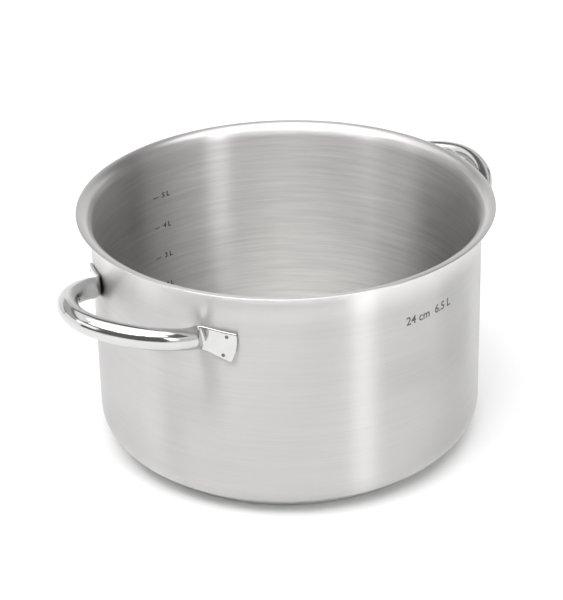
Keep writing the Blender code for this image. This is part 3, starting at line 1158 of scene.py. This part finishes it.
# Name, azimuth and elevation of the middle, width and height (all in degrees), and radiance
PANELS = (
    ("high_back_left", 172, 54, 43, 18, 5.7),
    ("high_left", -145, 54, 43, 18, 5.2),
    ("high_front", -102, 54, 43, 18, 4.2),
    ("high_back", 105, 50, 80, 20, 1.1),
    ("strip", -91, 25, 13, 20, 4.9),
    ("side_left", 157, 25, 42, 18, 1.6),
    ("side_back", 103, 25, 66, 18, 0.45),
    ("back_low", 130, 7, 45, 16, 1.2),
    ("backdrop", 60, 7, 90, 16, 1.0),
    ("backdrop_high", 30, 25, 75, 18, 0.7),
    ("right_low", -45, 7, 110, 16, 0.8),
    ("right_high", -60, 25, 45, 18, 0.85),
)


def make_floor(settings):
    """Plain pale floor."""
    bpy.ops.mesh.primitive_plane_add(size=settings.stage.floor_size)
    floor = bpy.context.object
    floor.name = "floor"
    start_material("pale_floor", Base_Color=(*settings.finish.floor, 1.0), Roughness=0.9,
                   Specular_IOR_Level=0.1)
    floor.data.materials.append(bpy.data.materials["pale_floor"])


def add_light(scene, name, away, width, height, radiance, shape="RECTANGLE"):
    """Area light away from the aim of the lights, facing it, set by its radiance."""
    light = bpy.data.lights.new(name, "AREA")
    light.shape = shape
    light.size = width
    light.size_y = height
    area = width * height * (math.pi / 4 if shape == "ELLIPSE" else 1)
    light.energy = radiance * math.pi * area
    holder = bpy.data.objects.new(name, light)
    holder.location = LIGHT_AIM + away
    holder.rotation_euler = away.to_track_quat("Z", "Y").to_euler()
    scene.collection.objects.link(holder)


def make_lights(scene, stage):
    """Soft panels all round, and a round one overhead."""
    for name, azimuth, elevation, wide, high, radiance in PANELS:
        turn = math.radians(azimuth)
        rise = math.radians(elevation)
        away = Vector((math.cos(rise) * math.cos(turn), math.cos(rise) * math.sin(turn), math.sin(rise)))
        width = 2 * stage.light_distance * math.tan(math.radians(wide / 2)) * math.cos(rise)
        height = 2 * stage.light_distance * math.tan(math.radians(high / 2))
        add_light(scene, name, away * stage.light_distance, width, height, radiance)
    above = Vector((0, 0, stage.light_distance))
    across = 2 * stage.light_distance / math.tan(OVERHEAD_RIM)
    add_light(scene, "overhead", above, across, across, stage.overhead, "ELLIPSE")


def make_world(scene, stage):
    """Faint even light from all round."""
    world = bpy.data.worlds.new("studio")
    scene.world = world
    world.use_nodes = True
    background = world.node_tree.nodes["Background"]
    background.inputs["Color"].default_value = (1.0, 1.0, 1.0, 1.0)
    background.inputs["Strength"].default_value = stage.ambient


def make_camera(scene, stage):
    """Camera at its angle and distance from the aim."""
    turn = stage.azimuth
    rise = stage.elevation
    back = Vector((math.sin(turn) * math.cos(rise), -math.cos(turn) * math.cos(rise), math.sin(rise)))
    right = Vector((math.cos(turn), math.sin(turn), 0))
    up = back.cross(right)
    rolled_right = right * math.cos(stage.roll) + up * math.sin(stage.roll)
    rolled_up = back.cross(rolled_right)
    lens = bpy.data.cameras.new("camera")
    lens.lens = stage.lens
    camera = bpy.data.objects.new("camera", lens)
    basis = Matrix((rolled_right, rolled_up, back)).transposed().to_4x4()
    basis.translation = Vector(stage.aim) + back * stage.distance
    camera.matrix_world = basis
    scene.collection.objects.link(camera)
    scene.camera = camera


# Panel and registration


class STOCKPOT_PT_panel(Panel):
    """Lists the pieces of the pot and its stage"""

    bl_idname = "STOCKPOT_PT_panel"
    bl_label = "Stock Pot"
    bl_space_type = "VIEW_3D"
    bl_region_type = "UI"
    bl_category = "Stock Pot"

    def draw(self, context):
        layout = self.layout
        settings = context.scene.stock_pot
        for group in ("shell", "handle", "mark", "finish", "stage"):
            box = layout.box()
            box.label(text=group.capitalize())
            values = getattr(settings, group)
            for name in values.bl_rna.properties.keys():
                if name not in ("rna_type", "name"):
                    box.prop(values, name)
        for operator in OPERATORS:
            layout.operator(operator.bl_idname)


OPERATORS = (
    STOCKPOT_OT_shell, STOCKPOT_OT_base, STOCKPOT_OT_handles, STOCKPOT_OT_welds, STOCKPOT_OT_scale,
    STOCKPOT_OT_size_mark, STOCKPOT_OT_stage)
CLASSES = (
    ShellSettings, HandleSettings, MarkSettings, FinishSettings, StageSettings, PotSettings,
    *OPERATORS, STOCKPOT_PT_panel)


def register():
    """Register the classes and the settings."""
    for item in CLASSES:
        bpy.utils.register_class(item)
    bpy.types.Scene.stock_pot = PointerProperty(type=PotSettings)


def unregister():
    """Remove the settings and the classes."""
    del bpy.types.Scene.stock_pot
    for item in reversed(CLASSES):
        bpy.utils.unregister_class(item)


def main():
    """Register the add-on and make the whole pot."""
    register()
    bpy.ops.stockpot.make_shell()
    bpy.ops.stockpot.make_base()
    bpy.ops.stockpot.make_handles()
    bpy.ops.stockpot.make_welds()
    bpy.ops.stockpot.make_scale()
    bpy.ops.stockpot.make_size_mark()
    bpy.ops.stockpot.set_stage()


if __name__ == "__main__":
    main()
